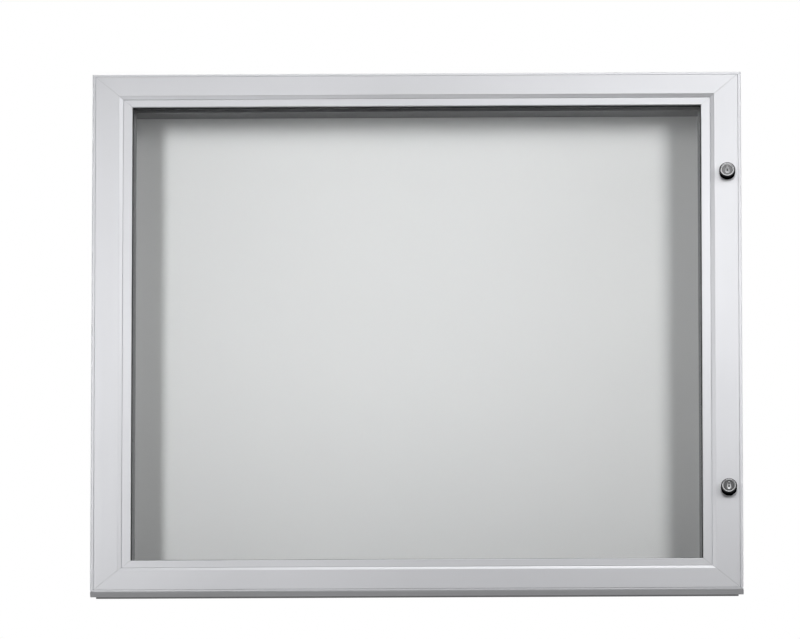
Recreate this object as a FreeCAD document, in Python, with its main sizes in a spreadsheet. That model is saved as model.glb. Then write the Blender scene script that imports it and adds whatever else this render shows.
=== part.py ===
"""Lockable notice board for a wall: an aluminium back frame with a white panel and a glazed
door of mitred extrusions, which swings on three hidden hinges and shuts with two cam locks.

Millimetres. X runs to the right, Y into the wall, Z up. The origin is the middle of the back
face, on the wall. The front of the door lies at y = -depth.
"""

import FreeCAD
import Part
import Sketcher
import math
import os
import re

V = FreeCAD.Vector
X_AXIS = V(1, 0, 0)
Y_AXIS = V(0, 1, 0)

doc = FreeCAD.newDocument("notice_board")

# Driving dimensions. Widths across a profile are those of a stile. The rails use the same
# section drawn narrower, so that every ridge meets its partner on the mitre.
DIMENSIONS = {
    # the whole board
    "board_width": 750,
    "board_height": 635,
    "depth": 45,
    "mitre_gap": 0.25,
    # how far a cut runs past the surface that it starts from
    "spare": 2,
    # door frame, measured inwards from its outer edge and back from its front
    "door_depth": 16.5,
    "door_stile": 46.4,
    "door_rail": 39.8,
    "door_wall": 2,
    "edge_strip": 3.4,
    "edge_round": 1.4,
    "edge_groove": 0.6,
    "flat_end": 31,
    "bevel_step": 0.5,
    "bevel_end": 35.4,
    "bevel_drop": 1.8,
    "lip_groove": 0.8,
    "lip_drop": 2.2,
    "lip_thickness": 2.4,
    "lip_round": 0.8,
    "bead_groove_deep": 1,
    "bead_groove_tall": 1.6,
    "bead_groove_place": 13.8,
    # glazing
    "front_gasket": 1.4,
    "glass": 4,
    "rear_gasket": 1.2,
    "glass_edge": 38,
    "gasket_reveal": 1.1,
    "gasket_tuck": 0.1,
    # glazing bead
    "bead_inset": 0.3,
    "bead_nose": 1.6,
    "bead_slope": 4,
    "bead_play": 0.1,
    "bead_tongue_gap": 0.2,
    # back frame
    "seal_gap": 3,
    "side_inset": 5.8,
    "end_inset": 8,
    "side_reveal": 4,
    "end_reveal": 1,
    "back_wall": 2,
    "panel_place": 5,
    "panel_thickness": 2,
    "panel_groove": 6,
    "panel_edge_gap": 0.5,
    "seal_place": 27,
    "seal_width": 4,
    "seal_clearance": 0.3,
    # corner cleats
    "cleat_leg": 60,
    "cleat_clearance": 0.2,
    "back_cleat_depth": 12,
    # hinges
    "hinge_axis_side": 2.6,
    "hinge_axis_back": 25.6,
    "hinge_spacing": 215,
    "hinge_height": 60,
    "hinge_knuckle_radius": 2.5,
    "hinge_pin_radius": 1.5,
    "hinge_running_fit": 0.05,
    "hinge_middle": 23.6,
    "hinge_end_gap": 0.4,
    "hinge_leaf": 1.4,
    "hinge_leaf_width": 19.4,
    "hinge_leaf_start": 3,
    "hinge_tab_overlap": 1,
    # cam locks
    "lock_inset": 16.2,
    "lock_end": 123.9,
    "lock_head_radius": 9.3,
    "lock_head_length": 9.2,
    "lock_bevel_wide": 1.1,
    "lock_bevel_long": 1.8,
    "lock_rim": 0.9,
    "lock_dish": 1,
    "lock_dish_land": 0.4,
    "lock_barrel_radius": 8,
    "lock_flat": 7,
    "lock_barrel_length": 15.8,
    "lock_bore": 6.3,
    "plug_recess": 0.9,
    "plug_edge": 0.4,
    "keyway_width": 1.8,
    "keyway_height": 8.4,
    "keyway_depth": 9,
    "lock_running_fit": 0.05,
    "lock_hole_fit": 0.1,
    "lock_nut": 19,
    "lock_nut_thickness": 5,
    "lock_access": 11.5,
    "lock_stub": 8,
    "cam_gap": 0.5,
    "cam_thickness": 2.5,
    "cam_boss": 7.5,
    "cam_reach": 28,
    "cam_width": 12,
    "cam_slot_gap": 0.9,
    "cam_screw_head": 4.8,
    "cam_screw_head_thick": 3,
    "cam_screw_radius": 2.5,
    "cam_screw_length": 9,
    "cam_screw_end_gap": 1,
    # wall fixings
    "fixing_spacing": 580,
    "fixing_inset": 8.5,
    "fixing_hole": 3.25,
    "fixing_access": 6.5,
}

sheet = doc.addObject("Spreadsheet::Sheet", "sizes")
for row, (name, value) in enumerate(DIMENSIONS.items(), start=1):
    sheet.set("A%d" % row, name.replace("_", " "))
    sheet.set("B%d" % row, str(value))
    sheet.setAlias("B%d" % row, name)
doc.recompute()


def bound(formula):
    """A formula in dimension names, written for the sheet's cells. cos and sin stay as they are."""
    return re.sub(r"\b[a-z_]{2,}\b(?!\()", lambda match: "sizes." + match.group(0), formula)


def value(formula):
    """The number that a formula in dimension names stands for."""
    return float(sheet.evalExpression(bound(formula)))


nodes = {}
# two places nearer than this are the same, in millimetres, and a smaller cut is no cut
TOUCH = 0.01


def new_body(label):
    body = doc.addObject("PartDesign::Body", label)
    body.Label = label
    nodes[label] = body
    return body


def new_sketch(body, role, offset="0"):
    """A sketch on one of the body's origin planes, moved along the plane's normal."""
    plane = next(item for item in body.Origin.OriginFeatures if item.Role == role)
    sketch = body.newObject("Sketcher::SketchObject", "sketch")
    sketch.AttachmentSupport = [(plane, "")]
    sketch.MapMode = "FlatFace"
    sketch.setExpression("AttachmentOffset.Base.z", bound(offset))
    return sketch


def fix(sketch, kind, formula, *place):
    """One dimension of a sketch, bound to the sheet."""
    number = sketch.addConstraint(Sketcher.Constraint(kind, *place, value(formula)))
    sketch.setExpression("Constraints[%d]" % number, bound(formula))


def fix_point(sketch, item, end, across, up):
    fix(sketch, "DistanceX", across, -1, 1, item, end)
    fix(sketch, "DistanceY", up, -1, 1, item, end)


def polygon(sketch, corners):
    """A closed outline with straight sides. Corners are pairs of formulas."""
    first = sketch.GeometryCount
    points = [V(value(across), value(up), 0) for across, up in corners]
    count = len(points)
    for index, point in enumerate(points):
        sketch.addGeometry(Part.LineSegment(point, points[(index + 1) % count]), False)
    for index in range(count):
        follower = first + (index + 1) % count
        sketch.addConstraint(Sketcher.Constraint("Coincident", first + index, 2, follower, 1))
    for index, (across, up) in enumerate(corners):
        fix_point(sketch, first + index, 1, across, up)


def rectangle(sketch, left, low, right, high):
    polygon(sketch, [(left, low), (right, low), (right, high), (left, high)])


def circle(sketch, across, up, radius):
    centre = V(value(across), value(up), 0)
    item = sketch.addGeometry(Part.Circle(centre, V(0, 0, 1), value(radius)), False)
    fix_point(sketch, item, 3, across, up)
    fix(sketch, "Radius", radius, item)


def double_d(sketch, across, up, radius, flat):
    """A round hole with two upright flats, as a lock barrel needs so that it can't turn."""
    centre = V(value(across), value(up), 0)
    wide = value(radius)
    half = value(flat)
    tall = math.sqrt(wide * wide - half * half)
    right_low = centre + V(half, -tall, 0)
    right_high = centre + V(half, tall, 0)
    left_high = centre + V(-half, tall, 0)
    left_low = centre + V(-half, -tall, 0)
    top = Part.Arc(right_high, centre + V(0, wide, 0), left_high)
    bottom = Part.Arc(left_low, centre + V(0, -wide, 0), right_low)
    first = sketch.GeometryCount
    sketch.addGeometry(Part.LineSegment(right_low, right_high), False)
    sketch.addGeometry(top, False)
    sketch.addGeometry(Part.LineSegment(left_high, left_low), False)
    sketch.addGeometry(bottom, False)
    joins = [(0, 2, 1, 1), (1, 2, 2, 1), (2, 2, 3, 1), (3, 2, 0, 1), (1, 3, 3, 3)]
    for item, end, other, other_end in joins:
        sketch.addConstraint(
            Sketcher.Constraint("Coincident", first + item, end, first + other, other_end)
        )
    fix_point(sketch, first + 1, 3, across, up)
    fix(sketch, "Radius", radius, first + 1)
    fix(sketch, "DistanceX", "(%s) + (%s)" % (across, flat), -1, 1, first, 1)
    fix(sketch, "DistanceX", "(%s) + (%s)" % (across, flat), -1, 1, first, 2)
    fix(sketch, "DistanceX", "(%s) - (%s)" % (across, flat), -1, 1, first + 2, 1)
    fix(sketch, "DistanceX", "(%s) - (%s)" % (across, flat), -1, 1, first + 2, 2)


def pad(body, sketch, length):
    """Solid along the sketch's normal."""
    feature = body.newObject("PartDesign::Pad", "pad")
    feature.Profile = sketch
    feature.setExpression("Length", bound(length))
    doc.recompute()


def pocket(body, sketch, depth=None, backwards=False):
    """A cut against the sketch's normal, or right through both ways without a depth."""
    before = body.Tip.Shape.Volume
    feature = body.newObject("PartDesign::Pocket", "pocket")
    feature.Profile = sketch
    if depth is None:
        feature.Type = "ThroughAll"
        feature.SideType = "Symmetric"
    else:
        feature.setExpression("Length", bound(depth))
        feature.Reversed = backwards
    doc.recompute()
    if feature.Shape.Volume > before - TOUCH:
        raise ValueError("nothing was cut from " + body.Label)


def revolve(body, sketch):
    """Solid turned once round the sketch's upright axis."""
    feature = body.newObject("PartDesign::Revolution", "revolution")
    feature.Profile = sketch
    feature.ReferenceAxis = (sketch, ["V_Axis"])
    feature.Angle = 360
    doc.recompute()


def round_edges(body, radius, wanted):
    """A fillet on the edges whose middle point passes the test."""
    tip = body.Tip
    names = []
    for number, edge in enumerate(tip.Shape.Edges, start=1):
        middle = edge.valueAt((edge.FirstParameter + edge.LastParameter) / 2)
        if wanted(middle):
            names.append("Edge%d" % number)
    feature = body.newObject("PartDesign::Fillet", "fillet")
    feature.Base = (tip, names)
    feature.setExpression("Radius", bound(radius))
    doc.recompute()


# Places worked out from the driving dimensions
HALF_WIDTH = "board_width / 2"
HALF_HEIGHT = "board_height / 2"
DOOR_REAR = "(depth - door_depth)"
BACK_FRONT = "(depth - door_depth - seal_gap)"
BACK_HALF_WIDTH = "(board_width / 2 - side_inset)"
BACK_HALF_HEIGHT = "(board_height / 2 - end_inset)"
BACK_STILE = "(door_stile + side_reveal - side_inset)"
BACK_RAIL = "(door_rail + end_reveal - end_inset)"
DOOR_SQUEEZE = "(door_rail / door_stile)"
BACK_SQUEEZE = "(%s / %s)" % (BACK_RAIL, BACK_STILE)
GLASS_FRONT = "(depth - lip_drop - lip_thickness - front_gasket)"
BEAD_FRONT = "(%s - glass - rear_gasket)" % GLASS_FRONT
LOCK_X = "(board_width / 2 - lock_inset)"
LOCK_Z = "(board_height / 2 - lock_end)"


def door_profile(squeeze):
    """Outline of the door extrusion: outer rim, flat, bevel and lip in front, and the chamber."""

    def point(inwards, back):
        return ("(%s) * %s" % (inwards, squeeze), "-(depth - (%s))" % back)

    rear = "door_depth"
    lip_rear = "lip_drop + lip_thickness"
    groove_low = "bead_groove_place"
    groove_high = "bead_groove_place - bead_groove_tall"
    outline = [
        point(0, rear),
        point(0, 0),
        point("edge_strip", 0),
        point("edge_strip + edge_groove / 2", "edge_groove"),
        point("edge_strip + edge_groove", 0),
        point("flat_end", 0),
        point("flat_end", "bevel_step"),
        point("bevel_end", "bevel_drop"),
        point("bevel_end + lip_groove / 2", "lip_drop + lip_groove / 2"),
        point("bevel_end + lip_groove", "lip_drop"),
        point("door_stile", "lip_drop"),
        point("door_stile", lip_rear),
        point("flat_end", lip_rear),
        point("flat_end", groove_high),
        point("flat_end - bead_groove_deep", groove_high),
        point("flat_end - bead_groove_deep", groove_low),
        point("flat_end", groove_low),
        point("flat_end", rear),
    ]
    chamber = [
        point("door_wall", "door_wall"),
        point("flat_end - door_wall", "door_wall"),
        point("flat_end - door_wall", "door_depth - door_wall"),
        point("door_wall", "door_depth - door_wall"),
    ]
    return [outline, chamber]


def back_profile(squeeze):
    """Outline of the back extrusion: a closed chamber and the groove that holds the panel."""

    def point(inwards, from_wall):
        return ("(%s) * %s" % (inwards, squeeze), "-(%s)" % from_wall)

    inner = BACK_STILE
    groove_floor = "%s - panel_groove" % BACK_STILE
    panel_rear = "panel_place - panel_thickness"
    outline = [
        point(0, 0),
        point(0, BACK_FRONT),
        point(inner, BACK_FRONT),
        point(inner, "panel_place"),
        point(groove_floor, "panel_place"),
        point(groove_floor, panel_rear),
        point(inner, panel_rear),
        point(inner, 0),
    ]
    chamber = [
        point("back_wall", "%s - back_wall" % BACK_FRONT),
        point("%s - back_wall" % inner, "%s - back_wall" % BACK_FRONT),
        point("%s - back_wall" % inner, "panel_place + back_wall"),
        point("%s - back_wall" % groove_floor, "panel_place + back_wall"),
        point("%s - back_wall" % groove_floor, "back_wall"),
        point("back_wall", "back_wall"),
    ]
    return [outline, chamber]


def bead_profile(squeeze):
    """Outline of a glazing bead, with the tongue that snaps into the door extrusion."""

    def point(inwards, from_wall):
        return ("(%s) * %s" % (inwards, squeeze), "-(%s)" % from_wall)

    tongue_low = "depth - bead_groove_place + bead_play"
    tongue_high = "depth - bead_groove_place + bead_groove_tall - bead_play"
    tongue_end = "flat_end - bead_groove_deep + bead_tongue_gap"
    nose = "door_stile - bead_inset"
    rear = "%s + bead_inset" % DOOR_REAR
    outline = [
        point("flat_end", BEAD_FRONT),
        point(nose, BEAD_FRONT),
        point(nose, "%s - bead_nose" % BEAD_FRONT),
        point("door_stile - bead_slope", rear),
        point("flat_end", rear),
        point("flat_end", tongue_low),
        point(tongue_end, tongue_low),
        point(tongue_end, tongue_high),
        point("flat_end", tongue_high),
    ]
    return [outline]


def mitred_member(label, side, profile, stile, rail, half_width, half_height, squeeze):
    """One side of a frame. The section lies in local XY, X inwards, and runs along local Z.

    side is left, right, top or bottom. The ends are cut along the line from the frame's outer
    corner to its inner corner.
    """
    upright = side in ("left", "right")
    own = stile if upright else rail
    other = rail if upright else stile
    length = "2 * %s" % (half_height if upright else half_width)
    body = new_body(label)
    section = new_sketch(body, "XY_Plane")
    for outline in profile("1" if upright else squeeze):
        polygon(section, outline)
    pad(body, section, length)
    return body, own, other, length


def cut_mitres(body, own, other, length):
    """Saw both ends of a member to its mitres, each half the hairline gap short."""
    slope = "(%s) / (%s)" % (other, own)
    low_end = "-spare * %s + mitre_gap / 2" % slope
    high_end = "((%s) + spare) * %s + mitre_gap / 2" % (own, slope)
    ends = new_sketch(body, "XZ_Plane")
    across_low = "-spare"
    across_high = "(%s) + spare" % own
    outside = "-spare * %s - 2 * spare" % slope
    polygon(
        ends,
        [
            (across_low, low_end),
            (across_low, outside),
            (across_high, outside),
            (across_high, high_end),
        ],
    )
    polygon(
        ends,
        [
            (across_low, "%s - (%s)" % (length, low_end)),
            (across_low, "%s - (%s)" % (length, outside)),
            (across_high, "%s - (%s)" % (length, outside)),
            (across_high, "%s - (%s)" % (length, high_end)),
        ],
    )
    pocket(body, ends)


# How each side's local frame lies in the board: X inwards, Y back, Z along the member
TURNS = {"left": 0, "top": 90, "right": 180, "bottom": -90}
CORNERS = {"left": (-1, -1), "top": (-1, 1), "right": (1, 1), "bottom": (1, -1)}


def place_member(body, side, half_width, half_height):
    across, up = CORNERS[side]
    body.Placement = FreeCAD.Placement(V(0, 0, 0), FreeCAD.Rotation(Y_AXIS, TURNS[side]))
    body.setExpression("Placement.Base.x", bound("%d * %s" % (across, half_width)))
    body.setExpression("Placement.Base.z", bound("%d * %s" % (up, half_height)))


def along(side, half_width, half_height, distance):
    """Local Z of a place given as X or Z of the board."""
    formulas = {
        "left": "(%s) + (%s)" % (half_height, distance),
        "right": "(%s) - (%s)" % (half_height, distance),
        "top": "(%s) + (%s)" % (half_width, distance),
        "bottom": "(%s) - (%s)" % (half_width, distance),
    }
    return formulas[side]


BOTH_ENDS = (-1, 1)
HINGE_PLACES = {"upper": 1, "middle": 0, "lower": -1}
LOCK_PLACES = {"upper": 1, "lower": -1}


def make_door_frame():
    sides = {
        "left": "door_hinge_stile",
        "right": "door_lock_stile",
        "top": "door_top_rail",
        "bottom": "door_bottom_rail",
    }
    for side, label in sides.items():
        body, own, other, length = mitred_member(
            label, side, door_profile, "door_stile", "door_rail",
            HALF_WIDTH, HALF_HEIGHT, DOOR_SQUEEZE,
        )
        front = -value("depth")
        round_edges(
            body, "edge_round",
            lambda middle: abs(middle.x) < TOUCH and abs(middle.y - front) < TOUCH,
        )
        lip_front = -value("depth - lip_drop")
        lip_edge = value(own)
        round_edges(
            body, "lip_round",
            lambda middle: abs(middle.x - lip_edge) < TOUCH
            and abs(middle.y - lip_front) < TOUCH,
        )
        cut_mitres(body, own, other, length)
        if side == "right":
            cut_lock_holes(body)
        place_member(body, side, HALF_WIDTH, HALF_HEIGHT)


def cut_lock_holes(body):
    """The barrel's holes in the front wall, and the nut's round openings in the rear wall."""
    front_holes = new_sketch(body, "XZ_Plane", "depth")
    for place in LOCK_PLACES.values():
        up = along("right", "", HALF_HEIGHT, "%d * %s" % (place, LOCK_Z))
        double_d(
            front_holes, "lock_inset", up,
            "lock_barrel_radius + lock_hole_fit", "lock_flat + lock_hole_fit",
        )
    pocket(body, front_holes, "door_wall + spare")
    rear_holes = new_sketch(body, "XZ_Plane", DOOR_REAR)
    for place in LOCK_PLACES.values():
        up = along("right", "", HALF_HEIGHT, "%d * %s" % (place, LOCK_Z))
        circle(rear_holes, "lock_inset", up, "lock_access")
    pocket(body, rear_holes, "door_wall + spare", True)


def make_back_frame():
    sides = {
        "left": "back_hinge_stile",
        "right": "back_lock_stile",
        "top": "back_top_rail",
        "bottom": "back_bottom_rail",
    }
    for side, label in sides.items():
        body, own, other, length = mitred_member(
            label, side, back_profile, BACK_STILE, BACK_RAIL,
            BACK_HALF_WIDTH, BACK_HALF_HEIGHT, BACK_SQUEEZE,
        )
        cut_mitres(body, own, other, length)
        if side == "right":
            cut_cam_slots(body)
        if side in ("top", "bottom"):
            drill_wall_fixings(body, side)
        place_member(body, side, BACK_HALF_WIDTH, BACK_HALF_HEIGHT)


def cut_cam_slots(body):
    """Upright slots in the front wall that let the hanging cams in when the door shuts."""
    slots = new_sketch(body, "XZ_Plane", BACK_FRONT)
    middle = "lock_inset - side_inset"
    half = "cam_boss + cam_slot_gap"
    for place in LOCK_PLACES.values():
        pivot = "%d * %s" % (place, LOCK_Z)
        # local Z runs down the lock stile
        high = along("right", "", BACK_HALF_HEIGHT, "%s + cam_boss + cam_slot_gap" % pivot)
        low = along("right", "", BACK_HALF_HEIGHT, "%s - cam_reach - cam_slot_gap" % pivot)
        rectangle(slots, "%s - (%s)" % (middle, half), high, "%s + (%s)" % (middle, half), low)
    pocket(body, slots, "back_wall + spare")


def drill_wall_fixings(body, side):
    """Screw holes in the wall side, and wider ones in front that the driver goes through."""
    access = new_sketch(body, "XZ_Plane", BACK_FRONT)
    screw_holes = new_sketch(body, "XZ_Plane")
    for end in BOTH_ENDS:
        up = along(side, BACK_HALF_WIDTH, "", "%d * fixing_spacing / 2" % end)
        circle(access, "fixing_inset", up, "fixing_access")
        circle(screw_holes, "fixing_inset", up, "fixing_hole")
    pocket(body, access, "back_wall + spare")
    pocket(body, screw_holes, "back_wall + spare", True)


def make_ring(label, outer, inner, rear, thickness):
    """A flat rectangular ring. outer and inner are half widths and half heights."""
    body = new_body(label)
    sketch = new_sketch(body, "XZ_Plane", rear)
    for across, up in (outer, inner):
        rectangle(sketch, "-(%s)" % across, "-(%s)" % up, across, up)
    pad(body, sketch, thickness)


def make_sheet(label, half_width, half_height, rear, thickness):
    body = new_body(label)
    sketch = new_sketch(body, "XZ_Plane", rear)
    rectangle(sketch, "-(%s)" % half_width, "-(%s)" % half_height, half_width, half_height)
    pad(body, sketch, thickness)


def door_inwards(distance):
    """Half width and half height of a line at a distance inwards on the stiles."""
    across = "%s - (%s)" % (HALF_WIDTH, distance)
    up = "%s - (%s) * %s" % (HALF_HEIGHT, distance, DOOR_SQUEEZE)
    return across, up


def make_glazing():
    pane = door_inwards("glass_edge")
    make_sheet("glazing", pane[0], pane[1], "%s - glass" % GLASS_FRONT, "glass")
    reveal = door_inwards("door_stile + gasket_reveal")
    make_ring("glazing_gasket_front", pane, reveal, GLASS_FRONT, "front_gasket")
    behind = door_inwards("door_stile - gasket_tuck")
    make_ring("glazing_gasket_rear", pane, behind, BEAD_FRONT, "rear_gasket")
    for side in TURNS:
        body, own, other, length = mitred_member(
            "glazing_bead_" + side, side, bead_profile, "door_stile", "door_rail",
            HALF_WIDTH, HALF_HEIGHT, DOOR_SQUEEZE,
        )
        cut_mitres(body, own, other, length)
        place_member(body, side, HALF_WIDTH, HALF_HEIGHT)


def make_back_panel():
    """The panel's edges sit in the grooves, a little short of the groove floor."""
    tucked = "(panel_groove - panel_edge_gap)"
    across = "%s - %s + %s" % (BACK_HALF_WIDTH, BACK_STILE, tucked)
    up = "%s - %s + %s * %s" % (BACK_HALF_HEIGHT, BACK_RAIL, tucked, BACK_SQUEEZE)
    make_sheet("back_panel", across, up, "panel_place - panel_thickness", "panel_thickness")


def make_door_seal():
    outer = door_inwards("seal_place")
    inner = door_inwards("seal_place + seal_width")
    make_ring("door_seal", outer, inner, BACK_FRONT, "seal_gap - seal_clearance")


CORNER_SIGNS = {
    "top_left": (-1, 1),
    "top_right": (1, 1),
    "bottom_left": (-1, -1),
    "bottom_right": (1, -1),
}


def make_cleat(label, signs, half_width, half_height, leg_stile, leg_rail, rear, thickness):
    """An L of solid zinc, one leg in the stile's chamber and one in the rail's.

    leg_stile and leg_rail are the near and far sides of each leg from the frame's outer edge.
    """
    across, up = signs

    def corner(inwards, inwards_up):
        return (
            "%d * ((%s) - (%s))" % (across, half_width, inwards),
            "%d * ((%s) - (%s))" % (up, half_height, inwards_up),
        )

    body = new_body(label)
    sketch = new_sketch(body, "XZ_Plane", rear)
    near, far = leg_stile
    near_up, far_up = leg_rail
    polygon(
        sketch,
        [
            corner(near, near_up),
            corner("cleat_leg", near_up),
            corner("cleat_leg", far_up),
            corner(far, far_up),
            corner(far, "cleat_leg"),
            corner(near, "cleat_leg"),
        ],
    )
    pad(body, sketch, thickness)


def make_cleats():
    fit = "cleat_clearance"
    door_far = "flat_end - door_wall - %s" % fit
    door_near = "door_wall + %s" % fit
    door_legs = (
        (door_near, door_far),
        ("(%s) * %s + %s" % ("door_wall", DOOR_SQUEEZE, fit),
         "(%s) * %s - %s" % ("flat_end - door_wall", DOOR_SQUEEZE, fit)),
    )
    chamber_end = "%s - panel_groove - back_wall" % BACK_STILE
    back_legs = (
        ("back_wall + %s" % fit, "%s - %s" % (chamber_end, fit)),
        ("back_wall * %s + %s" % (BACK_SQUEEZE, fit),
         "(%s) * %s - %s" % (chamber_end, BACK_SQUEEZE, fit)),
    )
    for place, signs in CORNER_SIGNS.items():
        make_cleat(
            "door_cleat_" + place, signs, HALF_WIDTH, HALF_HEIGHT, *door_legs,
            "%s + door_wall" % DOOR_REAR, "door_depth - 2 * door_wall",
        )
        make_cleat(
            "back_cleat_" + place, signs, BACK_HALF_WIDTH, BACK_HALF_HEIGHT, *back_legs,
            "back_wall", "back_cleat_depth",
        )


HINGE_X = "-(board_width / 2 - hinge_axis_side)"
HINGE_Y = "-hinge_axis_back"


def place_at_hinge(body, place):
    body.setExpression("Placement.Base.x", bound(HINGE_X))
    body.setExpression("Placement.Base.y", bound(HINGE_Y))
    body.setExpression("Placement.Base.z", bound("%d * hinge_spacing" % place))


def make_leaf(label, place, rear, knuckles, knuckle_bore):
    """A flat leaf with its knuckles. Local origin on the hinge axis, Z along it.

    knuckles are pairs of formulas, the low and high end of each. rear is the distance of the
    leaf's wall side from the wall.
    """
    body = new_body(label)
    leaf_low = "-(%s) + hinge_axis_back" % rear
    leaf_high = "-((%s) + hinge_leaf) + hinge_axis_back" % rear
    plate = new_sketch(body, "XY_Plane", "-hinge_height / 2")
    rectangle(
        plate, "hinge_leaf_start", leaf_high, "hinge_leaf_start + hinge_leaf_width", leaf_low
    )
    pad(body, plate, "hinge_height")
    for low, high in knuckles:
        tab = new_sketch(body, "XY_Plane", low)
        rectangle(tab, "0", leaf_high, "hinge_leaf_start + hinge_tab_overlap", leaf_low)
        pad(body, tab, "(%s) - (%s)" % (high, low))
        knuckle = new_sketch(body, "XY_Plane", low)
        circle(knuckle, "0", "0", "hinge_knuckle_radius")
        pad(body, knuckle, "(%s) - (%s)" % (high, low))
    bore = new_sketch(body, "XY_Plane")
    circle(bore, "0", "0", knuckle_bore)
    pocket(body, bore)
    place_at_hinge(body, place)


def make_hinges():
    half = "hinge_height / 2"
    middle = "hinge_middle / 2"
    for name, place in HINGE_PLACES.items():
        make_leaf(
            "hinge_fixed_leaf_" + name, place, BACK_FRONT,
            [("-" + half, "-%s - hinge_end_gap" % middle), ("%s + hinge_end_gap" % middle, half)],
            "hinge_pin_radius",
        )
        make_leaf(
            "hinge_door_leaf_" + name, place, "%s - hinge_leaf" % DOOR_REAR,
            [("-" + middle, middle)],
            "hinge_pin_radius + hinge_running_fit",
        )
        make_pin("hinge_pin_" + name, place)


def make_pin(label, place):
    body = new_body(label)
    section = new_sketch(body, "XY_Plane", "-hinge_height / 2")
    circle(section, "0", "0", "hinge_pin_radius")
    pad(body, section, "hinge_height")
    place_at_hinge(body, place)


# The locks are drawn with their axis along local Z, which points out of the board
LOCK_TURN = FreeCAD.Rotation(X_AXIS, 90)


def place_at_lock(item, place):
    item.Placement = FreeCAD.Placement(V(0, 0, 0), LOCK_TURN)
    item.setExpression("Placement.Base.x", bound(LOCK_X))
    item.setExpression("Placement.Base.y", bound("-depth"))
    item.setExpression("Placement.Base.z", bound("%d * %s" % (place, LOCK_Z)))


def make_barrel(label, place):
    """Barrel with flats, and a head with a raised rim that falls to the plug."""
    body = new_body(label)
    outline = new_sketch(body, "XZ_Plane")
    polygon(
        outline,
        [
            ("lock_bore", "-lock_barrel_length"),
            ("lock_barrel_radius", "-lock_barrel_length"),
            ("lock_barrel_radius", "0"),
            ("lock_head_radius", "0"),
            ("lock_head_radius", "lock_head_length - lock_bevel_long"),
            ("lock_head_radius - lock_bevel_wide", "lock_head_length"),
            ("lock_head_radius - lock_bevel_wide - lock_rim", "lock_head_length"),
            ("lock_bore + lock_dish_land", "lock_head_length - lock_dish"),
            ("lock_bore", "lock_head_length - lock_dish"),
        ],
    )
    revolve(body, outline)
    flats = new_sketch(body, "XY_Plane", "-lock_barrel_length")
    for side in BOTH_ENDS:
        rectangle(
            flats,
            "%d * lock_flat" % side, "-lock_barrel_radius",
            "%d * (lock_barrel_radius + spare)" % side, "lock_barrel_radius",
        )
    pocket(body, flats, "lock_barrel_length", True)
    place_at_lock(body, place)


def make_nut(label, place):
    body = new_body(label)
    outline = new_sketch(body, "XY_Plane", "-door_wall - lock_nut_thickness")
    corner = "lock_nut / 2 / cos(30)"
    turns = range(0, 360, 60)
    corners = [("%s * cos(%d)" % (corner, a), "%s * sin(%d)" % (corner, a)) for a in turns]
    polygon(outline, corners)
    circle(outline, "0", "0", "lock_barrel_radius")
    pad(body, outline, "lock_nut_thickness")
    place_at_lock(body, place)


CAM_FRONT = "(door_depth + seal_gap + back_wall + cam_gap)"


def make_plug(label, place):
    """The turning plug: key slot in front, square stub with a threaded end behind."""
    body = new_body(label)
    outline = new_sketch(body, "XZ_Plane")
    radius = "lock_bore - lock_running_fit"
    face = "lock_head_length - plug_recess"
    polygon(
        outline,
        [
            ("0", "-lock_barrel_length"),
            (radius, "-lock_barrel_length"),
            (radius, "%s - plug_edge" % face),
            ("%s - plug_edge" % radius, face),
            ("0", face),
        ],
    )
    revolve(body, outline)
    stub = new_sketch(body, "XY_Plane", "-%s - cam_thickness" % CAM_FRONT)
    side = "lock_stub / 2"
    rectangle(stub, "-" + side, "-" + side, side, side)
    pad(body, stub, "%s + cam_thickness - lock_barrel_length + spare" % CAM_FRONT)
    keyway = new_sketch(body, "XY_Plane", face)
    rectangle(
        keyway, "-keyway_width / 2", "-keyway_height / 2", "keyway_width / 2", "keyway_height / 2"
    )
    pocket(body, keyway, "keyway_depth")
    thread = new_sketch(body, "XY_Plane", "-%s - cam_thickness" % CAM_FRONT)
    circle(thread, "0", "0", "cam_screw_radius")
    pocket(body, thread, "cam_screw_length", True)
    place_at_lock(body, place)


def make_cam(label, place):
    """A flat lever with a round boss, a narrower arm that hangs down and a round tip."""
    body = new_body(label)
    rear = "-%s - cam_thickness" % CAM_FRONT
    tip = "-(cam_reach - cam_width / 2)"
    boss = new_sketch(body, "XY_Plane", rear)
    circle(boss, "0", "0", "cam_boss")
    pad(body, boss, "cam_thickness")
    arm = new_sketch(body, "XY_Plane", rear)
    rectangle(arm, "-cam_width / 2", tip, "cam_width / 2", "0")
    pad(body, arm, "cam_thickness")
    end = new_sketch(body, "XY_Plane", rear)
    circle(end, "0", tip, "cam_width / 2")
    pad(body, end, "cam_thickness")
    hole = new_sketch(body, "XY_Plane", rear)
    side = "lock_stub / 2"
    rectangle(hole, "-" + side, "-" + side, side, side)
    pocket(body, hole)
    place_at_lock(body, place)


def make_cam_screw(label, place):
    """Flat-headed screw that holds the cam on its stub."""
    body = new_body(label)
    seat = "-%s - cam_thickness" % CAM_FRONT
    outline = new_sketch(body, "XZ_Plane")
    polygon(
        outline,
        [
            ("0", "%s - cam_screw_head_thick" % seat),
            ("cam_screw_head", "%s - cam_screw_head_thick" % seat),
            ("cam_screw_head", seat),
            ("cam_screw_radius", seat),
            ("cam_screw_radius", "%s + cam_screw_length - cam_screw_end_gap" % seat),
            ("0", "%s + cam_screw_length - cam_screw_end_gap" % seat),
        ],
    )
    revolve(body, outline)
    place_at_lock(body, place)


def make_locks():
    for name, place in LOCK_PLACES.items():
        make_barrel("lock_barrel_" + name, place)
        make_nut("lock_nut_" + name, place)
        make_plug("lock_plug_" + name, place)
        make_cam("lock_cam_" + name, place)
        make_cam_screw("cam_screw_" + name, place)


make_back_frame()
make_back_panel()
make_door_seal()
make_door_frame()
make_glazing()
make_cleats()
make_hinges()
make_locks()

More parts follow.
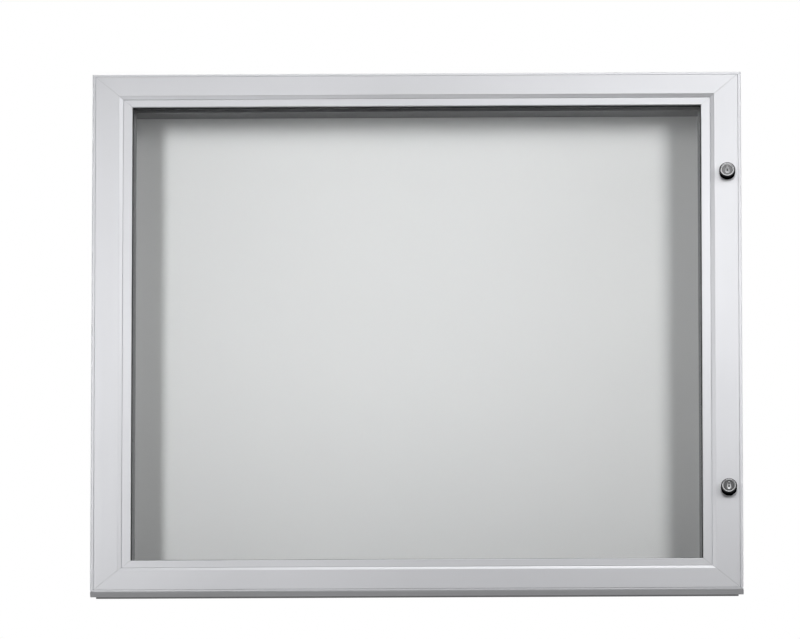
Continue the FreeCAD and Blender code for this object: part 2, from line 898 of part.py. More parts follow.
doc.recompute()
for item in doc.Objects:
    if "Invalid" in item.State or "Error" in item.State:
        raise ValueError("%s is %s" % (item.Label, item.State))
for label, node in nodes.items():
    if node.Shape.isNull() or not node.Shape.isValid():
        raise ValueError(label + " has no valid shape")

os.makedirs("parts", exist_ok=True)
for label, node in nodes.items():
    node.Shape.exportStep("parts/%s.step" % label)
print(len(nodes), "nodes written")
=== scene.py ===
"""Looks of the lockable notice board: its finishes, finer locks, cam screws and hinge leaves in
place of the plain ones, the hinge screws, a plain studio and the camera. Metres, in the frame of
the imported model."""

import math

import bmesh
import bpy
from mathutils import Matrix, Vector


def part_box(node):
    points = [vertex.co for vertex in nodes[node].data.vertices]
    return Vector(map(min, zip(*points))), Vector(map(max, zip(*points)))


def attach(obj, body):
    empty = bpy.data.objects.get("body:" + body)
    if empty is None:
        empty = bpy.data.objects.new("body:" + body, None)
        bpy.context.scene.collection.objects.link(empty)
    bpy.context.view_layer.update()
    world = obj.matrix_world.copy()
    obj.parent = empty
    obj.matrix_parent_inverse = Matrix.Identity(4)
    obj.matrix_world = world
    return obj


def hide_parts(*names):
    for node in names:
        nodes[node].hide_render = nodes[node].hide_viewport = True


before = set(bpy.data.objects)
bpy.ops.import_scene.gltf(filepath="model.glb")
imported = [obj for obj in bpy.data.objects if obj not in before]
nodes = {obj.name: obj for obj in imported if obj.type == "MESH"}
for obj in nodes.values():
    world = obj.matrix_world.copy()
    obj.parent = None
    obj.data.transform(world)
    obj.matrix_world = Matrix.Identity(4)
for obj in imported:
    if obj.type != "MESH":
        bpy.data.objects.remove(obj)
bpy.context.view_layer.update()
scene = bpy.context.scene


# Node trees

def solid(colour):
    """A colour with full alpha."""
    return (*colour, 1.0)


def add(tree, kind, inputs=None, **settings):
    """A shader node. An input is a number, a colour or another node's output socket."""
    node = tree.nodes.new("ShaderNode" + kind)
    for name, value in settings.items():
        setattr(node, name, value)
    for name, value in (inputs or {}).items():
        if isinstance(value, bpy.types.NodeSocket):
            tree.links.new(value, node.inputs[name])
        else:
            node.inputs[name].default_value = value
    return node


def new_material(name, **shine):
    """A material, its node tree and its surface shader, with plain values set on the shader."""
    material = bpy.data.materials.new(name)
    material.use_nodes = True
    tree = material.node_tree
    surface = tree.nodes["Principled BSDF"]
    for socket, value in shine.items():
        surface.inputs[socket.replace("_", " ")].default_value = value
    return material, tree, surface


def noise(tree, stretch, detail=2.0):
    """Noise in the piece's own space, with so many waves to the metre along x, y and z."""
    place = add(tree, "TexCoord").outputs["Object"]
    scaled = add(tree, "Mapping", {"Vector": place, "Scale": stretch}).outputs["Vector"]
    settings = {"Vector": scaled, "Scale": 1.0, "Detail": detail}
    return add(tree, "TexNoise", settings).outputs["Fac"]


def remap(tree, value, low, high, source=(0.0, 1.0)):
    """A value brought from its source range to one between low and high."""
    settings = {"Value": value, "To Min": low, "To Max": high}
    settings["From Min"], settings["From Max"] = source
    return add(tree, "MapRange", settings).outputs["Result"]


# nearly all of the noise lies between these
NOISE_RANGE = (0.3, 0.7)


def spread(tree, value, low, high):
    """Noise between a low and a high value."""
    return remap(tree, value, low, high, NOISE_RANGE)


def shades(tree, value, dark, light):
    """Noise as a colour between two."""
    mixed = add(tree, "Mix", data_type="RGBA")
    mixed.inputs["A"].default_value = solid(dark)
    mixed.inputs["B"].default_value = solid(light)
    tree.links.new(spread(tree, value, 0.0, 1.0), mixed.inputs["Factor"])
    return mixed.outputs["Result"]


def bump(tree, height, strength, depth, under=None):
    """A normal from a height map whose waves are so many metres deep, perhaps over another bump."""
    settings = {"Height": height, "Strength": strength, "Distance": depth}
    if under is not None:
        settings["Normal"] = under
    return add(tree, "Bump", settings).outputs["Normal"]


def dress(tree, surface, colour, roughness=None, normal=None):
    """Link what varies over a surface to its shader."""
    for socket, value in (("Base Color", colour), ("Roughness", roughness), ("Normal", normal)):
        if value is not None:
            tree.links.new(value, surface.inputs[socket])


def choose(tree, factor, first, second):
    """The material's output: the first shader at a factor of 0, the second at 1."""
    mixed = add(tree, "MixShader", {0: factor, 1: first, 2: second})
    tree.links.new(mixed.outputs["Shader"], tree.nodes["Material Output"].inputs["Surface"])


def math_node(tree, operation, first, second, clamp=False):
    node = add(tree, "Math", {0: first, 1: second}, operation=operation, use_clamp=clamp)
    return node.outputs["Value"]


def either(tree, first, second):
    """One where either of two ray tests holds."""
    return math_node(tree, "MAXIMUM", first, second)


# Finishes

# waves to the metre
FINE = 900.0
COARSE = 5.0
# depth of the marks in a finish
MARK = 0.0001
WHITE = (1.0, 1.0, 1.0)
BLACK = (0.0, 0.0, 0.0)
# darkest and lightest shade of a metal, as shares of its tone
ANODISED = (0.965, 1.02)
BRUSHED = (0.92, 1.0)
PANEL_COAT = ((0.735, 0.733, 0.738), (0.76, 0.758, 0.763))
PRIMER = ((0.43, 0.43, 0.42), (0.5, 0.5, 0.49))
RUBBER = ((0.012, 0.012, 0.012), (0.028, 0.028, 0.027))
ZINC = ((0.36, 0.365, 0.38), (0.50, 0.50, 0.51))
# what glass lets through to the eye and to lamps, and how much it mirrors
GLASS = (0.98, 0.985, 0.983)
GLASS_LIT = (0.965, 0.972, 0.969)
GLASS_MIRROR = (0.3, 0.3, 0.3)
# y of a normal over which a face of the panel is its back
BACK_OF_PANEL = 0.5


def shares(tone, darkest_lightest):
    return [[share * c for c in tone] for share in darkest_lightest]


def aluminium(name, tone, run):
    """Satin anodised extrusion. The marks of the die run along it."""
    material, tree, surface = new_material(name, Metallic=0.55)
    stretch = [FINE, FINE, FINE]
    stretch["xyz".index(run)] = COARSE
    die_marks = noise(tree, stretch)
    etching = noise(tree, (FINE, FINE, FINE))
    clouds = noise(tree, (COARSE, COARSE, COARSE))
    colour = shades(tree, clouds, *shares(tone, ANODISED))
    marks = bump(tree, die_marks, 0.12, MARK)
    grain = bump(tree, etching, 0.1, MARK, marks)
    dress(tree, surface, colour, spread(tree, die_marks, 0.30, 0.36), grain)
    return material


def coated_panel():
    """Matt coat with a faint orange peel in front, and a plain primer behind."""
    material, tree, surface = new_material("panel_coat")
    surface.inputs["Specular IOR Level"].default_value = 0.25
    clouds = noise(tree, (3.0, 3.0, 3.0))
    streaks = noise(tree, (25.0, 25.0, 400.0))
    peel = noise(tree, (600.0, 600.0, 600.0), detail=1.0)
    front = shades(tree, clouds, *PANEL_COAT)
    primer = shades(tree, streaks, *PRIMER)
    facing = add(tree, "TexCoord").outputs["Normal"]
    depth = add(tree, "SeparateXYZ", {"Vector": facing}).outputs["Y"]
    behind = math_node(tree, "GREATER_THAN", depth, BACK_OF_PANEL)
    sides = add(tree, "Mix", data_type="RGBA")
    for socket, value in (("Factor", behind), ("A", front), ("B", primer)):
        tree.links.new(value, sides.inputs[socket])
    colour = sides.outputs["Result"]
    dress(tree, surface, colour, spread(tree, peel, 0.5, 0.6), bump(tree, peel, 0.15, MARK))
    return material


def clear_glass():
    """Clear float glass, faintly green. Shadow and diffuse rays pass straight through it."""
    material, tree, surface = new_material("clear_glass", Roughness=0.0, IOR=1.5)
    surface.inputs["Transmission Weight"].default_value = 1.0
    surface.inputs["Specular Tint"].default_value = solid(GLASS_MIRROR)
    surface.inputs["Base Color"].default_value = solid(GLASS)
    path = add(tree, "LightPath").outputs
    passing = either(tree, path["Is Shadow Ray"], path["Is Diffuse Ray"])
    clear = add(tree, "BsdfTransparent", {"Color": solid(GLASS_LIT)}).outputs["BSDF"]
    choose(tree, passing, surface.outputs["BSDF"], clear)
    return material


def rubber():
    material, tree, surface = new_material("black_rubber")
    dust = noise(tree, (40.0, 40.0, 40.0))
    skin = noise(tree, (1200.0, 1200.0, 1200.0))
    colour = shades(tree, dust, *RUBBER)
    dress(tree, surface, colour, spread(tree, skin, 0.55, 0.72), bump(tree, skin, 0.3, MARK))
    return material


def cast_zinc():
    material, tree, surface = new_material("cast_zinc", Metallic=1.0)
    skin = noise(tree, (300.0, 300.0, 300.0), detail=4.0)
    stains = noise(tree, (60.0, 60.0, 60.0))
    colour = shades(tree, stains, *ZINC)
    dress(tree, surface, colour, spread(tree, skin, 0.42, 0.6), bump(tree, skin, 0.35, 3 * MARK))
    return material


def brushed_steel(name, tone, stretch):
    material, tree, surface = new_material(name, Metallic=1.0)
    strokes = noise(tree, stretch, detail=3.0)
    colour = shades(tree, strokes, *shares(tone, BRUSHED))
    dress(tree, surface, colour, spread(tree, strokes, 0.26, 0.36), bump(tree, strokes, 0.2, MARK))
    return material


def chrome(name, dark, light, edge=WHITE):
    """Plated metal. A dark edge keeps it from flaring where it turns away."""
    material, tree, surface = new_material(name, Metallic=1.0, Specular_Tint=solid(edge))
    haze = noise(tree, (250.0, 250.0, 250.0), detail=4.0)
    colour = shades(tree, haze, dark, light)
    dress(tree, surface, colour, spread(tree, haze, 0.08, 0.16), bump(tree, haze, 0.04, MARK))
    return material


SILVER = (0.66, 0.665, 0.69)
# painted shade: the back frame and the glazing beads, seen mostly in the shade inside the board,
# get this dark tone in place of the door's silver
SILVER_IN_PAINTED_SHADE = (0.24, 0.242, 0.25)
STEEL = (0.55, 0.55, 0.56)
BLUED_STEEL = (0.5, 0.51, 0.54)
CHROME = ((0.46, 0.465, 0.475), (0.54, 0.545, 0.55))
# painted shade and reflection: the plug's face is chrome made dark so that it looks like chrome
# mirroring a dark room
PLUG_CHROME_PAINTED_DARK = ((0.07, 0.071, 0.073), (0.105, 0.106, 0.108))
# painted shade and reflection: near-black chrome for the head's side, rounding and dish, with a
# dark edge tint so that it stays dark where it turns away
HEAD_CHROME_PAINTED_BLACK = ((0.02, 0.02, 0.022), (0.04, 0.04, 0.042))
PAINTED_DARK_EDGE = (0.15, 0.15, 0.15)
UPRIGHT_STROKES = (2400.0, 2400.0, 60.0)
finishes = {
    "door_aluminium x": aluminium("door_aluminium_rail", SILVER, "x"),
    "door_aluminium z": aluminium("door_aluminium_stile", SILVER, "z"),
    # the back frame and the beads take the dark tone above, which is painted shade
    "back_aluminium x": aluminium("back_aluminium_rail_painted_shade", SILVER_IN_PAINTED_SHADE, "x"),
    "back_aluminium z": aluminium("back_aluminium_stile_painted_shade", SILVER_IN_PAINTED_SHADE, "z"),
    "bead_aluminium x": aluminium("bead_aluminium_across_painted_shade", SILVER_IN_PAINTED_SHADE, "x"),
    "bead_aluminium z": aluminium("bead_aluminium_upright_painted_shade", SILVER_IN_PAINTED_SHADE, "z"),
    "panel": coated_panel(),
    "glazing": clear_glass(),
    "rubber": rubber(),
    "zinc": cast_zinc(),
    "hinge_steel": brushed_steel("hinge_steel", STEEL, UPRIGHT_STROKES),
    "fastener_steel": brushed_steel("fastener_steel", BLUED_STEEL, (FINE, FINE, FINE)),
    "lock_chrome": chrome("polished_chrome", *CHROME),
    "lock_chrome dark": chrome("plug_chrome_painted_dark", *PLUG_CHROME_PAINTED_DARK),
    "lock_chrome shaded": chrome("head_chrome_painted_black", *HEAD_CHROME_PAINTED_BLACK, PAINTED_DARK_EDGE),
}


def finish_of(name):
    """A node's key in finishes: its slot, then " dark" for a plug, whose chrome is painted dark as
    shade and dark reflection, or the way an extrusion runs.
    """
    slot = nodes[name].material_slots[0].material.name
    if name.startswith("lock_plug"):
        return slot + " dark"
    if "aluminium" not in slot:
        return slot
    low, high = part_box(name)
    size = high - low
    return slot + (" x" if size.x > size.z else " z")


for name, node in nodes.items():
    node.material_slots[0].material = finishes[finish_of(name)]


# Small pieces. Shapes are drawn in millimetres with Z along the screw or lock

MM = 0.001
# vertices closer than this become one
WELD = 0.0005
# edges that bend more than this stay sharp
SMOOTH = math.radians(35)
SCREW_SIDES = 32
BARREL_SIDES = 96
# the door's face, in which the locks sit
DOOR_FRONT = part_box("door_lock_stile")[0].y
OUT_OF_BOARD = Matrix.Rotation(math.radians(90), 4, "X")
INTO_BOARD = Matrix.Rotation(math.radians(-90), 4, "X")


def middle(name):
    """The middle of a node's box."""
    low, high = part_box(name)
    return (low + high) / 2


def revolve(builder, profile, sides):
    """Faces round Z through a list of (radius, height) points."""
    rings = []
    for radius, height in profile:
        ring = []
        for step in range(sides):
            angle = 2 * math.pi * step / sides
            point = (radius * math.cos(angle), radius * math.sin(angle), height)
            ring.append(builder.verts.new(point))
        rings.append(ring)
    for low, high in zip(rings, rings[1:]):
        for step in range(sides):
            after = (step + 1) % sides
            builder.faces.new((low[step], low[after], high[after], high[step]))


def loft(builder, outlines):
    """Faces between outlines with the same number of points."""
    loops = [[builder.verts.new(point) for point in outline] for outline in outlines]
    count = len(loops[0])
    for low, high in zip(loops, loops[1:]):
        for step in range(count):
            after = (step + 1) % count
            builder.faces.new((low[step], low[after], high[after], high[step]))
    return loops


def mesh_from(builder, name):
    mesh = bpy.data.meshes.new(name)
    builder.to_mesh(mesh)
    builder.free()
    return mesh


def smooth(mesh):
    for face in mesh.polygons:
        face.use_smooth = True
    mesh.set_sharp_from_angle(angle=SMOOTH)
    return mesh


def to_metres(builder, verts):
    bmesh.ops.scale(builder, verts=verts, vec=(MM, MM, MM))


def finished(builder, name):
    """A mesh in metres, welded and with its faces turned outwards."""
    bmesh.ops.remove_doubles(builder, verts=builder.verts, dist=WELD)
    bmesh.ops.dissolve_degenerate(builder, edges=builder.edges, dist=WELD)
    bmesh.ops.recalc_face_normals(builder, faces=builder.faces)
    to_metres(builder, builder.verts)
    return smooth(mesh_from(builder, name))


def put(name, mesh, place, turn, body, slot, *more_finishes):
    """A piece at a place on a body, with its slot's finish and perhaps others."""
    piece = bpy.data.objects.new(name, mesh)
    piece.matrix_world = Matrix.Translation(place) @ turn
    scene.collection.objects.link(piece)
    for finish in (slot, *more_finishes):
        mesh.materials.append(finishes[finish])
    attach(piece, body)
    return piece


# how far a cross stands over the head, and what share of its arms' reach is left at the tip
CROSS_OVER = 0.3
CROSS_TIP = 0.45
# share of an arm's width that doesn't taper
CROSS_CORE = 0.6


def cross_cutter(reach, width, depth, top):
    """The tapered cross of a screwdriver, to cut from a head whose face is at the given height."""
    builder = bmesh.new()
    outlines = []
    for shrink, height in ((1.0, top + CROSS_OVER), (1.0, top), (CROSS_TIP, top - depth)):
        long, short = reach * shrink, width / 2 * (CROSS_CORE + (1 - CROSS_CORE) * shrink)
        outline = []
        arm = [(long, -short), (long, short), (short, short)]
        for _ in range(4):
            outline.extend((x, y, height) for x, y in arm)
            arm = [(-y, x) for x, y in arm]
        outlines.append(outline)
    loops = loft(builder, outlines)
    builder.faces.new(loops[0])
    builder.faces.new(loops[-1])
    bmesh.ops.recalc_face_normals(builder, faces=builder.faces)
    to_metres(builder, builder.verts)
    return mesh_from(builder, "cutter")


def carved(mesh, cutter, name):
    """The mesh with the cutter taken out of it."""
    whole = bpy.data.objects.new(name, mesh)
    tool = bpy.data.objects.new("tool", cutter)
    for item in (whole, tool):
        scene.collection.objects.link(item)
    cut = whole.modifiers.new("cut", "BOOLEAN")
    cut.solver = "EXACT"
    cut.object = tool
    bpy.context.view_layer.update()
    graph = bpy.context.evaluated_depsgraph_get()
    result = bpy.data.meshes.new_from_object(whole.evaluated_get(graph))
    result.name = name
    for item in (whole, tool):
        bpy.data.objects.remove(item)
    return smooth(result)


# A lock's barrel: rounded head, rim, dish, bore, and a threaded shank with two flats. Heights
# count from the door's face
BORE = 6.3
SHANK_END = -15.8
HEAD_PROFILE = (
    (8.0, 0.0), (9.15, 0.0), (9.3, 0.15), (9.3, 7.0), (9.22, 7.55), (9.0, 8.05), (8.68, 8.5),
    (8.3, 8.86), (7.85, 9.1), (7.35, 9.2), (7.2, 9.16), (7.08, 9.05), (6.85, 8.35), (6.75, 8.22),
    (6.6, 8.2), (6.4, 8.2), (BORE, 8.1), (BORE, SHANK_END),
)
# the part of the head that keeps the plain chrome, between two radii; the head's side, rounding and
# dish outside it take chrome painted near black, a painted shade and dark reflection
RIM = (6.4, 7.7)
SHANK_RADIUS = 8.0
# half the width over the flats
SHANK_FLAT = 7.0
THREAD_PITCH = 1.25
THREAD_DEPTH = 0.5
# share of the pitch and of the depth at each point of one thread
THREAD = ((0.1, 1.0), (0.35, 0.1), (0.5, 0.0), (0.65, 0.1), (0.9, 1.0))
THREAD_START = 0.2
THREAD_STOP = -1.0
# foot and top of the plain step between the thread and the head
SHANK_STEP = (-0.6, -0.5)
# only what is lower than this gets the flats
FLATS_UNDER = -0.01


def barrel_mesh(name):
    builder = bmesh.new()
    shank = [(BORE, SHANK_END), (SHANK_RADIUS - THREAD_DEPTH, SHANK_END)]
    height = SHANK_END + THREAD_START
    while height + THREAD_PITCH < THREAD_STOP:
        for share, sink in THREAD:
            shank.append((SHANK_RADIUS - sink * THREAD_DEPTH, height + share * THREAD_PITCH))
        height += THREAD_PITCH
    shank.append((SHANK_RADIUS - THREAD_DEPTH, SHANK_STEP[0]))
    shank.append((SHANK_RADIUS, SHANK_STEP[1]))
    revolve(builder, shank + list(HEAD_PROFILE), BARREL_SIDES)
    for vertex in builder.verts:
        if vertex.co.z < FLATS_UNDER:
            vertex.co.x = max(-SHANK_FLAT, min(SHANK_FLAT, vertex.co.x))
    for face in builder.faces:
        middle = face.calc_center_median()
        on_rim = RIM[0] < middle.xy.length < RIM[1] and middle.z > 0
        # painted shade and reflection: faces of the head off the rim take the near-black second
        # finish
        face.material_index = 0 if on_rim or middle.z < 0 else 1
    return finished(builder, name)


# The raised lip round the key slot, and the two spring flaps that close it
PLUG_FACE = 8.3
LIP_OUTER = (
    (0.0, 5.1), (1.0, 4.8), (1.65, 3.2), (2.2, 0.6),
    (2.55, -1.4), (2.5, -2.9), (1.4, -4.5), (0.0, -5.0),
)
LIP_INNER = (
    (0.0, 4.25), (0.9, 4.2), (0.95, 2.4), (0.95, 0.6),
    (0.95, -0.8), (0.95, -2.6), (0.9, -4.2), (0.0, -4.25),
)
# share of the way from the outer outline to the inner one, and height over the plug's face
LIP_SECTION = ((0.0, -0.15), (0.0, 0.1), (0.3, 0.42), (0.62, 0.45), (1.0, 0.15), (1.0, -0.15))
# half the width of a flap
FLAP_REACH = 0.86
# place along the slot and depth under the plug's face, round a flap's side
FLAP_SECTION = ((4.1, 0.35), (1.6, 0.75), (0.9, 2.2), (1.15, 2.3), (1.85, 1.05), (4.1, 0.65))


def both_halves(right):
    """A closed outline from its right half, given from the top to the bottom."""
    left = [(-across, up) for across, up in reversed(right[1:-1])]
    return list(right) + left


def lip_mesh(name):
    builder = bmesh.new()
    outer = both_halves(LIP_OUTER)
    inner = both_halves(LIP_INNER)
    outlines = []
    for share, height in LIP_SECTION:
        outline = []
        for (ax, ay), (bx, by) in zip(outer, inner):
            outline.append((ax + (bx - ax) * share, ay + (by - ay) * share, PLUG_FACE + height))
        outlines.append(outline)
    loft(builder, outlines + outlines[:1])
    return finished(builder, name)


def flap_mesh(name, way):
    """A bent strip in the key slot, from one end of it down to the gap in the middle."""
    builder = bmesh.new()
    outlines = [
        [(across, along * way, PLUG_FACE - depth) for along, depth in FLAP_SECTION]
        for across in (-FLAP_REACH, FLAP_REACH)
    ]
    loops = loft(builder, outlines)
    builder.faces.new(loops[0])
    builder.faces.new(loops[1])
    return finished(builder, name)


# The screw behind each cam, and the countersunk ones in the hinge leaves
CAM_SCREW_PROFILE = (
    (0.0, 3.0), (1.8, 2.95), (3.3, 2.7), (4.3, 2.1), (4.75, 1.2), (4.8, 0.0),
    (2.5, 0.0), (2.5, -8.0), (0.0, -8.0),
)
# reach of the arms, their width, and the depth of the cross
CAM_SCREW_CROSS = (2.6, 0.9, 1.7)
FLUSH_CROSS = (1.9, 0.8, 1.0)
FLUSH_PROFILE = ((0.0, 0.04), (3.15, 0.04), (3.25, -0.08), (1.9, -1.38), (0.0, -1.38))
COUNTERSINK = ((0.0, 0.2), (3.56, 0.2), (1.66, -1.7), (0.0, -1.7))
# x of each screw in a leaf, and its height over the hinge's middle
LEAF_SCREWS = ((-0.3615, -0.02), (-0.3565, 0.0), (-0.3615, 0.02))
# weld of a leaf, in metres
LEAF_WELD = 0.000001
# body of each kind of leaf, y of its exposed face, and the turn of its screws
LEAVES = {
    "fixed": ("back_frame", -0.0269, OUT_OF_BOARD),
    "door": ("door", -0.0271, INTO_BOARD),
}


def screw_mesh(name, profile, reach, width, depth):
    builder = bmesh.new()
    revolve(builder, profile, SCREW_SIDES)
    whole = finished(builder, name)
    return carved(whole, cross_cutter(reach, width, depth, profile[0][1]), name)


def make_lock(name):
    """Finer barrel and cam screw in place of the plain ones, and the parts of the key slot."""
    axis = middle("lock_barrel_" + name)
    place = Vector((axis.x, DOOR_FRONT, axis.z))
    seat = Vector((axis.x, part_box("lock_cam_" + name)[1].y, axis.z))
    owner = name + "_lock"
    label = "lock_head_" + name
    # the second finish is chrome painted near black: painted shade and dark reflection on the head
    metals = ("lock_chrome", "lock_chrome shaded")
    barrel = put(label, barrel_mesh(label), place, OUT_OF_BOARD, "door", *metals)
    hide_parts("lock_barrel_" + name)
    label = "key_slot_lip_" + name
    put(label, lip_mesh(label), place, OUT_OF_BOARD, owner, "lock_chrome")
    for end, way in (("top", 1), ("bottom", -1)):
        label = "key_slot_flap_%s_%s" % (end, name)
        put(label, flap_mesh(label, way), place, OUT_OF_BOARD, owner, "lock_chrome")
    label = "cam_screw_cross_" + name
    mesh = screw_mesh(label, CAM_SCREW_PROFILE, *CAM_SCREW_CROSS)
    screw = put(label, mesh, seat, INTO_BOARD, owner, "fastener_steel")
    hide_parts("cam_screw_" + name)


def drilled_leaf(node, holes, turn, name):
    """A copy of a hinge leaf with a countersunk hole at each place."""
    leaf = bmesh.new()
    leaf.from_mesh(nodes[node].data)
    bmesh.ops.remove_doubles(leaf, verts=leaf.verts, dist=LEAF_WELD)
    drills = bmesh.new()
    for place in holes:
        before = set(drills.verts)
        revolve(drills, COUNTERSINK, SCREW_SIDES)
        fresh = [vertex for vertex in drills.verts if vertex not in before]
        to_metres(drills, fresh)
        bmesh.ops.transform(drills, matrix=Matrix.Translation(place) @ turn, verts=fresh)
    bmesh.ops.remove_doubles(drills, verts=drills.verts, dist=LEAF_WELD)
    bmesh.ops.recalc_face_normals(drills, faces=drills.faces)
    return carved(mesh_from(leaf, name), mesh_from(drills, "drills"), name)


def make_hinge(name):
    """Drilled leaves in place of the plain ones, and their screws."""
    height = middle("hinge_pin_" + name).z
    for kind, (body, face, turn) in LEAVES.items():
        holes = [Vector((across, face, height + up)) for across, up in LEAF_SCREWS]
        node = "hinge_%s_leaf_%s" % (kind, name)
        label = node + "_drilled"
        mesh = drilled_leaf(node, holes, turn, label)
        leaf = put(label, mesh, Vector(), Matrix.Identity(4), body, "hinge_steel")
        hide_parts(node)
        for number, hole in enumerate(holes):
            label = "hinge_screw_%s_%s_%d" % (kind, name, number)
            mesh = screw_mesh(label, FLUSH_PROFILE, *FLUSH_CROSS)
            put(label, mesh, hole, turn, body, "fastener_steel")


for name in ("upper", "lower"):
    make_lock(name)
for name in ("upper", "middle", "lower"):
    make_hinge(name)


# Studio

FLOOR_HEIGHT = -1.55
FLOOR_REACH = 60.0
FLOOR_TONES = ((0.62, 0.62, 0.62), (0.66, 0.66, 0.655))
# glow of the floor to the camera and through glass, and in mirrors
FLOOR_SEEN = 0.55
FLOOR_MIRRORED = 0.2
# the world's even light on the object
AMBIENT = 0.04

# Centre on the front card, reach and gain of each glow. The gains of the first six and the level
# of the front card began as the results of a least-squares fit to the photo's brightness, made by
# another script. Four of those gains were changed since, and the last four glows are not from the
# fit
GLOWS = (
    ((-0.45, -0.45), (0.5, 0.5), 0.6),
    ((-0.45, -0.05), (0.5, 0.5), 2.0),
    ((0.0, -0.05), (0.5, 0.5), 0.75),
    ((0.45, -0.05), (0.5, 0.5), 2.3),
    ((0.45, 0.35), (0.5, 0.5), 1.75),
    ((1.1, 0.0), (0.6, 0.8), 1.15),
    ((0.3, 1.25), (1.2, 0.75), 4.1),
    ((-0.5, -1.0), (0.45, 0.5), 1.8),
    ((-0.85, -0.35), (0.5, 0.6), 1.1),
    ((0.85, -0.5), (0.4, 0.5), 0.8),
)
# place, facing, width, height, level and glows
CARDS = {
    "front_card": ((0.0, -1.5, 0.6), (0.0, -1.0, 0.0), 6.0, 3.6, 0.2, GLOWS),
    "left_card": ((-1.5, -0.7, 0.3), (1.0, 0.3, 0.0), 1.4, 2.0, 0.6, ()),
    "right_card": ((1.5, -0.7, 0.3), (-1.0, 0.3, 0.0), 1.4, 2.0, 0.9, ()),
}
# place, aim, width, height, spread in degrees and watts
LAMPS = {
    "left_softbox": ((-1.42, -1.15, 0.8), (-0.2, 0.0, 0.27), 0.26, 1.5, 40.0, 2.52),
    "right_softbox": ((1.46, -1.08, 0.8), (0.2, 0.0, 0.3), 0.42, 1.5, 40.0, 2.68),
    "front_softbox": ((0.0, -1.5, 0.1), (0.0, 0.0, 0.1), 0.5, 0.5, 34.0, 0.22),
    "back_left_softbox": ((-1.6, 1.9, 0.9), (0.0, 0.0, 0.0), 1.2, 1.2, 180.0, 45.0),
    "back_right_softbox": ((1.6, 1.9, 0.9), (0.0, 0.0, 0.0), 1.2, 1.2, 180.0, 30.0),
}


def looking(tree):
    """One for rays that show the background: the camera's, and those in mirrors and glass."""
    path = add(tree, "LightPath").outputs
    seen = either(tree, path["Is Camera Ray"], path["Is Glossy Ray"])
    return either(tree, seen, path["Is Transmission Ray"])


def floor_material():
    """Pale floor that is clear from below, because the camera stands under it and looks up."""
    material, tree, surface = new_material("pale_floor", Roughness=0.9)
    grain = noise(tree, (30.0, 30.0, 30.0))
    dress(tree, surface, shades(tree, grain, *FLOOR_TONES))
    surface.inputs["Emission Color"].default_value = solid(WHITE)
    path = add(tree, "LightPath").outputs
    rays = (path["Is Glossy Ray"], path["Is Transmission Ray"])
    mirrored = math_node(tree, "SUBTRACT", *rays, clamp=True)
    level = remap(tree, mirrored, FLOOR_SEEN, FLOOR_MIRRORED)
    lit = math_node(tree, "MULTIPLY", looking(tree), level)
    tree.links.new(lit, surface.inputs["Emission Strength"])
    behind = add(tree, "NewGeometry").outputs["Backfacing"]
    clear = add(tree, "BsdfTransparent").outputs["BSDF"]
    choose(tree, behind, surface.outputs["BSDF"], clear)
    return material


def make_floor():
    builder = bmesh.new()
    bmesh.ops.create_grid(builder, x_segments=8, y_segments=8, size=FLOOR_REACH)
    mesh = mesh_from(builder, "floor")
    mesh.materials.append(floor_material())
    floor = bpy.data.objects.new("floor", mesh)
    floor.location.z = FLOOR_HEIGHT
    scene.collection.objects.link(floor)


def make_world():
    """White to the camera and in mirrors and glass, and a low even light on everything else."""
    world = bpy.data.worlds.new("studio")
    world.use_nodes = True
    scene.world = world
    tree = world.node_tree
    strength = remap(tree, looking(tree), AMBIENT, 1.0)
    background = tree.nodes["Background"]
    background.inputs["Color"].default_value = solid(WHITE)
    tree.links.new(strength, background.inputs["Strength"])


def hide(thing, *rays):
    for kind in rays:
        setattr(thing, "visible_" + kind, False)


def make_lamp(name, place, aim, width, height, beam, watts):
    """A softbox that lights the object and isn't seen, not even in mirrors and glass."""
    data = bpy.data.lights.new(name, "AREA")
    data.shape = "RECTANGLE"
    data.size = width
    data.size_y = height
    data.spread = math.radians(beam)
    data.energy = watts
    lamp = bpy.data.objects.new(name, data)
    lamp.location = place
    lamp.rotation_mode = "QUATERNION"
    lamp.rotation_quaternion = (Vector(aim) - Vector(place)).to_track_quat("-Z", "Y")
    hide(lamp, "camera", "glossy", "transmission")
    scene.collection.objects.link(lamp)


def glow(tree, centre, reach, gain):
    """Light of a card round a place on it, falling off smoothly."""
    place = add(tree, "TexCoord").outputs["Object"]
    off = add(tree, "VectorMath", {0: place, 1: (*centre, 0.0)}, operation="SUBTRACT").outputs[0]
    shrink = (1 / reach[0], 1 / reach[1], 1.0)
    near = add(tree, "VectorMath", {0: off, 1: shrink}, operation="MULTIPLY").outputs[0]
    sphere = add(tree, "TexGradient", {"Vector": near}, gradient_type="SPHERICAL").outputs["Fac"]
    fall = {"Value": sphere, "To Max": gain}
    return add(tree, "MapRange", fall, interpolation_type="SMOOTHERSTEP").outputs["Result"]


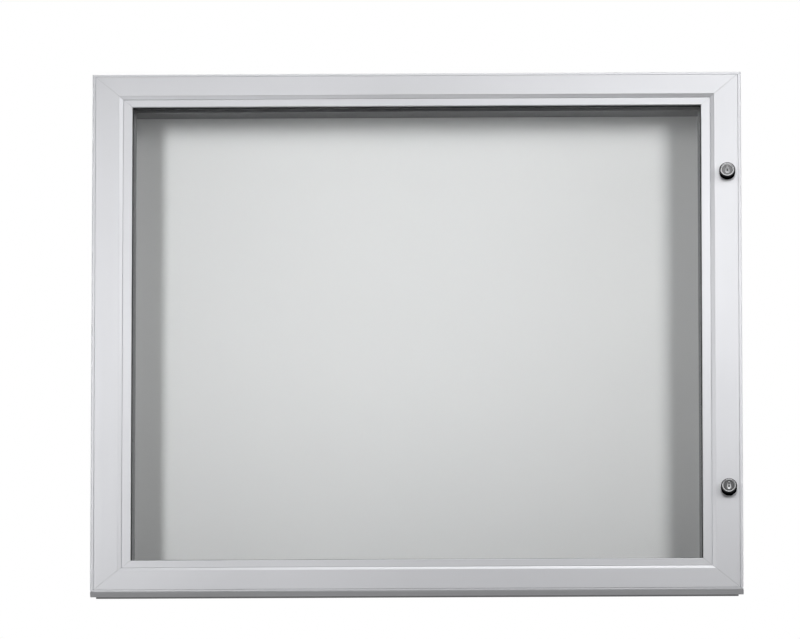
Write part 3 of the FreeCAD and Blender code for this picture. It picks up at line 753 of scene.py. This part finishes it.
def make_card(name, place, facing, width, height, level, glows):
    """A soft reflector that shows only in mirrors, with brighter glows on it."""
    material, tree, surface = new_material(name, Roughness=1.0)
    surface.inputs["Base Color"].default_value = solid(BLACK)
    surface.inputs["Specular IOR Level"].default_value = 0.0
    surface.inputs["Emission Color"].default_value = solid(WHITE)
    surface.inputs["Emission Strength"].default_value = level
    total = level
    for centre, reach, gain in glows:
        total = math_node(tree, "ADD", glow(tree, centre, reach, gain), total)
    if glows:
        tree.links.new(total, surface.inputs["Emission Strength"])
    builder = bmesh.new()
    bmesh.ops.create_grid(builder, x_segments=1, y_segments=1, size=0.5)
    bmesh.ops.scale(builder, verts=builder.verts, vec=(width, height, 1.0))
    mesh = mesh_from(builder, name)
    mesh.materials.append(material)
    card = bpy.data.objects.new(name, mesh)
    card.location = place
    card.rotation_mode = "QUATERNION"
    card.rotation_quaternion = Vector(facing).to_track_quat("Z", "Y")
    scene.collection.objects.link(card)
    hide(card, "camera", "diffuse", "shadow", "transmission", "volume_scatter")


make_floor()
make_world()
for name, card in CARDS.items():
    make_card(name, *card)
for name, lamp in LAMPS.items():
    make_lamp(name, *lamp)


# Camera, below the board and looking up at it

AZIMUTH = math.radians(0.79)
ELEVATION = math.radians(-20.0)
DISTANCE = 25.0
SENSOR = 36.0
CLIP = (1.0, 100.0)
# the photo in pixels: its width, its scale at the door's face, and how far its centre lies to the
# left of the door's centre and over it
PHOTO_WIDTH = 800
PIXELS_TO_METRE = 868
PIXELS_LEFT = 16.7
PIXELS_UP = 11.5
METRES_ACROSS = PHOTO_WIDTH / PIXELS_TO_METRE
AIM_LEFT = PIXELS_LEFT / PIXELS_TO_METRE
AIM_UP = PIXELS_UP / PIXELS_TO_METRE
FRONT_CENTRE = Vector((0.0, DOOR_FRONT, 0.0))


def make_camera():
    level = math.cos(ELEVATION)
    ahead = Vector((-math.sin(AZIMUTH) * level, math.cos(AZIMUTH) * level, -math.sin(ELEVATION)))
    right = Vector((math.cos(AZIMUTH), math.sin(AZIMUTH), 0.0))
    up = right.cross(ahead)
    aim = FRONT_CENTRE - AIM_LEFT * right + AIM_UP * up
    turn = Matrix((right, up, -ahead)).transposed().to_4x4()
    data = bpy.data.cameras.new("camera")
    data.sensor_width = SENSOR
    data.lens = SENSOR * DISTANCE / METRES_ACROSS
    data.clip_start, data.clip_end = CLIP
    camera = bpy.data.objects.new("camera", data)
    camera.matrix_world = Matrix.Translation(aim - DISTANCE * ahead) @ turn
    scene.collection.objects.link(camera)
    scene.camera = camera


make_camera()
scene.view_settings.view_transform = "Standard"
